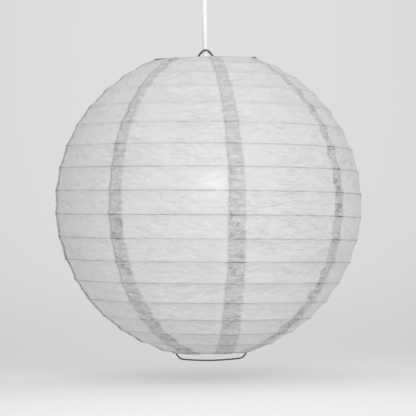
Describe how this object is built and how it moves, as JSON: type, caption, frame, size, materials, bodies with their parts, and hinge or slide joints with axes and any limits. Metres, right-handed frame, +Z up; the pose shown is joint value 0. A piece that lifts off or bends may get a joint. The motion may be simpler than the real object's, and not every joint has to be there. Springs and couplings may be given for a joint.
{
  "type": "paper lantern",
  "caption": "Round paper lantern on a spiral wire rib between end rings, held open by a bent-wire expander and hung with its lamp holder and bulb from a ceiling rose on a short flex",
  "frame": {"origin": "on the ceiling, at the middle of the rose's flat back", "axes": "+Z up along the flex, -Y towards the front, +X to the viewer's right"},
  "size_m": [0.3497, 0.3494, 0.4765],
  "materials": {
    "white_plastic": "smooth injection-moulded, lightly glossy",
    "nylon": "natural moulded nylon, matt",
    "white_pvc": "soft white flex sheath, satin",
    "phenolic": "unglazed off-white insulator",
    "brass": "pressed sheet, lightly dulled",
    "screw_steel": "zinc-plated",
    "bulb_cap": "rolled thread, satin",
    "bulb_insulator": "black vitrified ring",
    "bulb_glass": "opal, inside-frosted white",
    "wire": "drawn steel wire, dark grey, satin",
    "paper": "thin handmade-look paper with fine fibres, wrinkled and translucent"
  },
  "bodies": {
    "ceiling_rose": {"rose_base": "nylon", "rose_terminal_block": "nylon", "rose_screw_left": "screw_steel", "rose_screw_right": "screw_steel"},
    "rose_lid": {"rose_cover": "white_plastic"},
    "grip_ball": {"cord_grip": "nylon"},
    "pendant": {"pendant_cord": "white_pvc", "cord_boot": "white_pvc", "holder_cap": "white_plastic", "holder_body": "white_plastic", "holder_insert": "phenolic", "holder_thread": "brass", "holder_contact": "brass"},
    "bulb": {"bulb_tip": "screw_steel", "bulb_insulator": "bulb_insulator", "bulb_cap": "bulb_cap", "bulb_glass": "bulb_glass"},
    "lantern": {"expander_frame": "wire", "top_ring": "wire", "spiral_rib": "wire", "paper_gore_1": "paper", "paper_gore_2": "paper", "paper_gore_3": "paper", "paper_gore_4": "paper", "paper_gore_5": "paper", "paper_gore_6": "paper", "paper_gore_7": "paper", "paper_gore_8": "paper"},
    "lower_ring": {"bottom_ring": "wire"}
  },
  "joints": [
    {"name": "cover_unscrew", "type": "hinge", "parent": "ceiling_rose", "child": "rose_lid", "pos_m": [0, 0, -0.01], "axis": [0, 0, 1], "range_deg": [0, 450]},
    {"name": "swing_front_back", "type": "hinge", "parent": "ceiling_rose", "child": "grip_ball", "pos_m": [0, 0, -0.054], "axis": [1, 0, 0], "range_deg": [-20, 20]},
    {"name": "swing_sideways", "type": "hinge", "parent": "grip_ball", "child": "pendant", "pos_m": [0, 0, -0.054], "axis": [0, 1, 0], "range_deg": [-20, 20]},
    {"name": "bulb_unscrew", "type": "hinge", "parent": "pendant", "child": "bulb", "pos_m": [0, 0, -0.247], "axis": [0, 0, 1], "range_deg": [0, 1080]},
    {"name": "lantern_spin", "type": "hinge", "parent": "pendant", "child": "lantern", "pos_m": [0, 0, -0.297], "axis": [0, 0, 1], "continuous": true},
    {"name": "shade_collapse", "type": "slide", "parent": "lantern", "child": "lower_ring", "axis": [0, 0, 1], "range_m": [0, 0.3096], "deforming": ["spiral_rib", "paper_gore_1", "paper_gore_2", "paper_gore_3", "paper_gore_4", "paper_gore_5", "paper_gore_6", "paper_gore_7", "paper_gore_8"]}
  ]
}
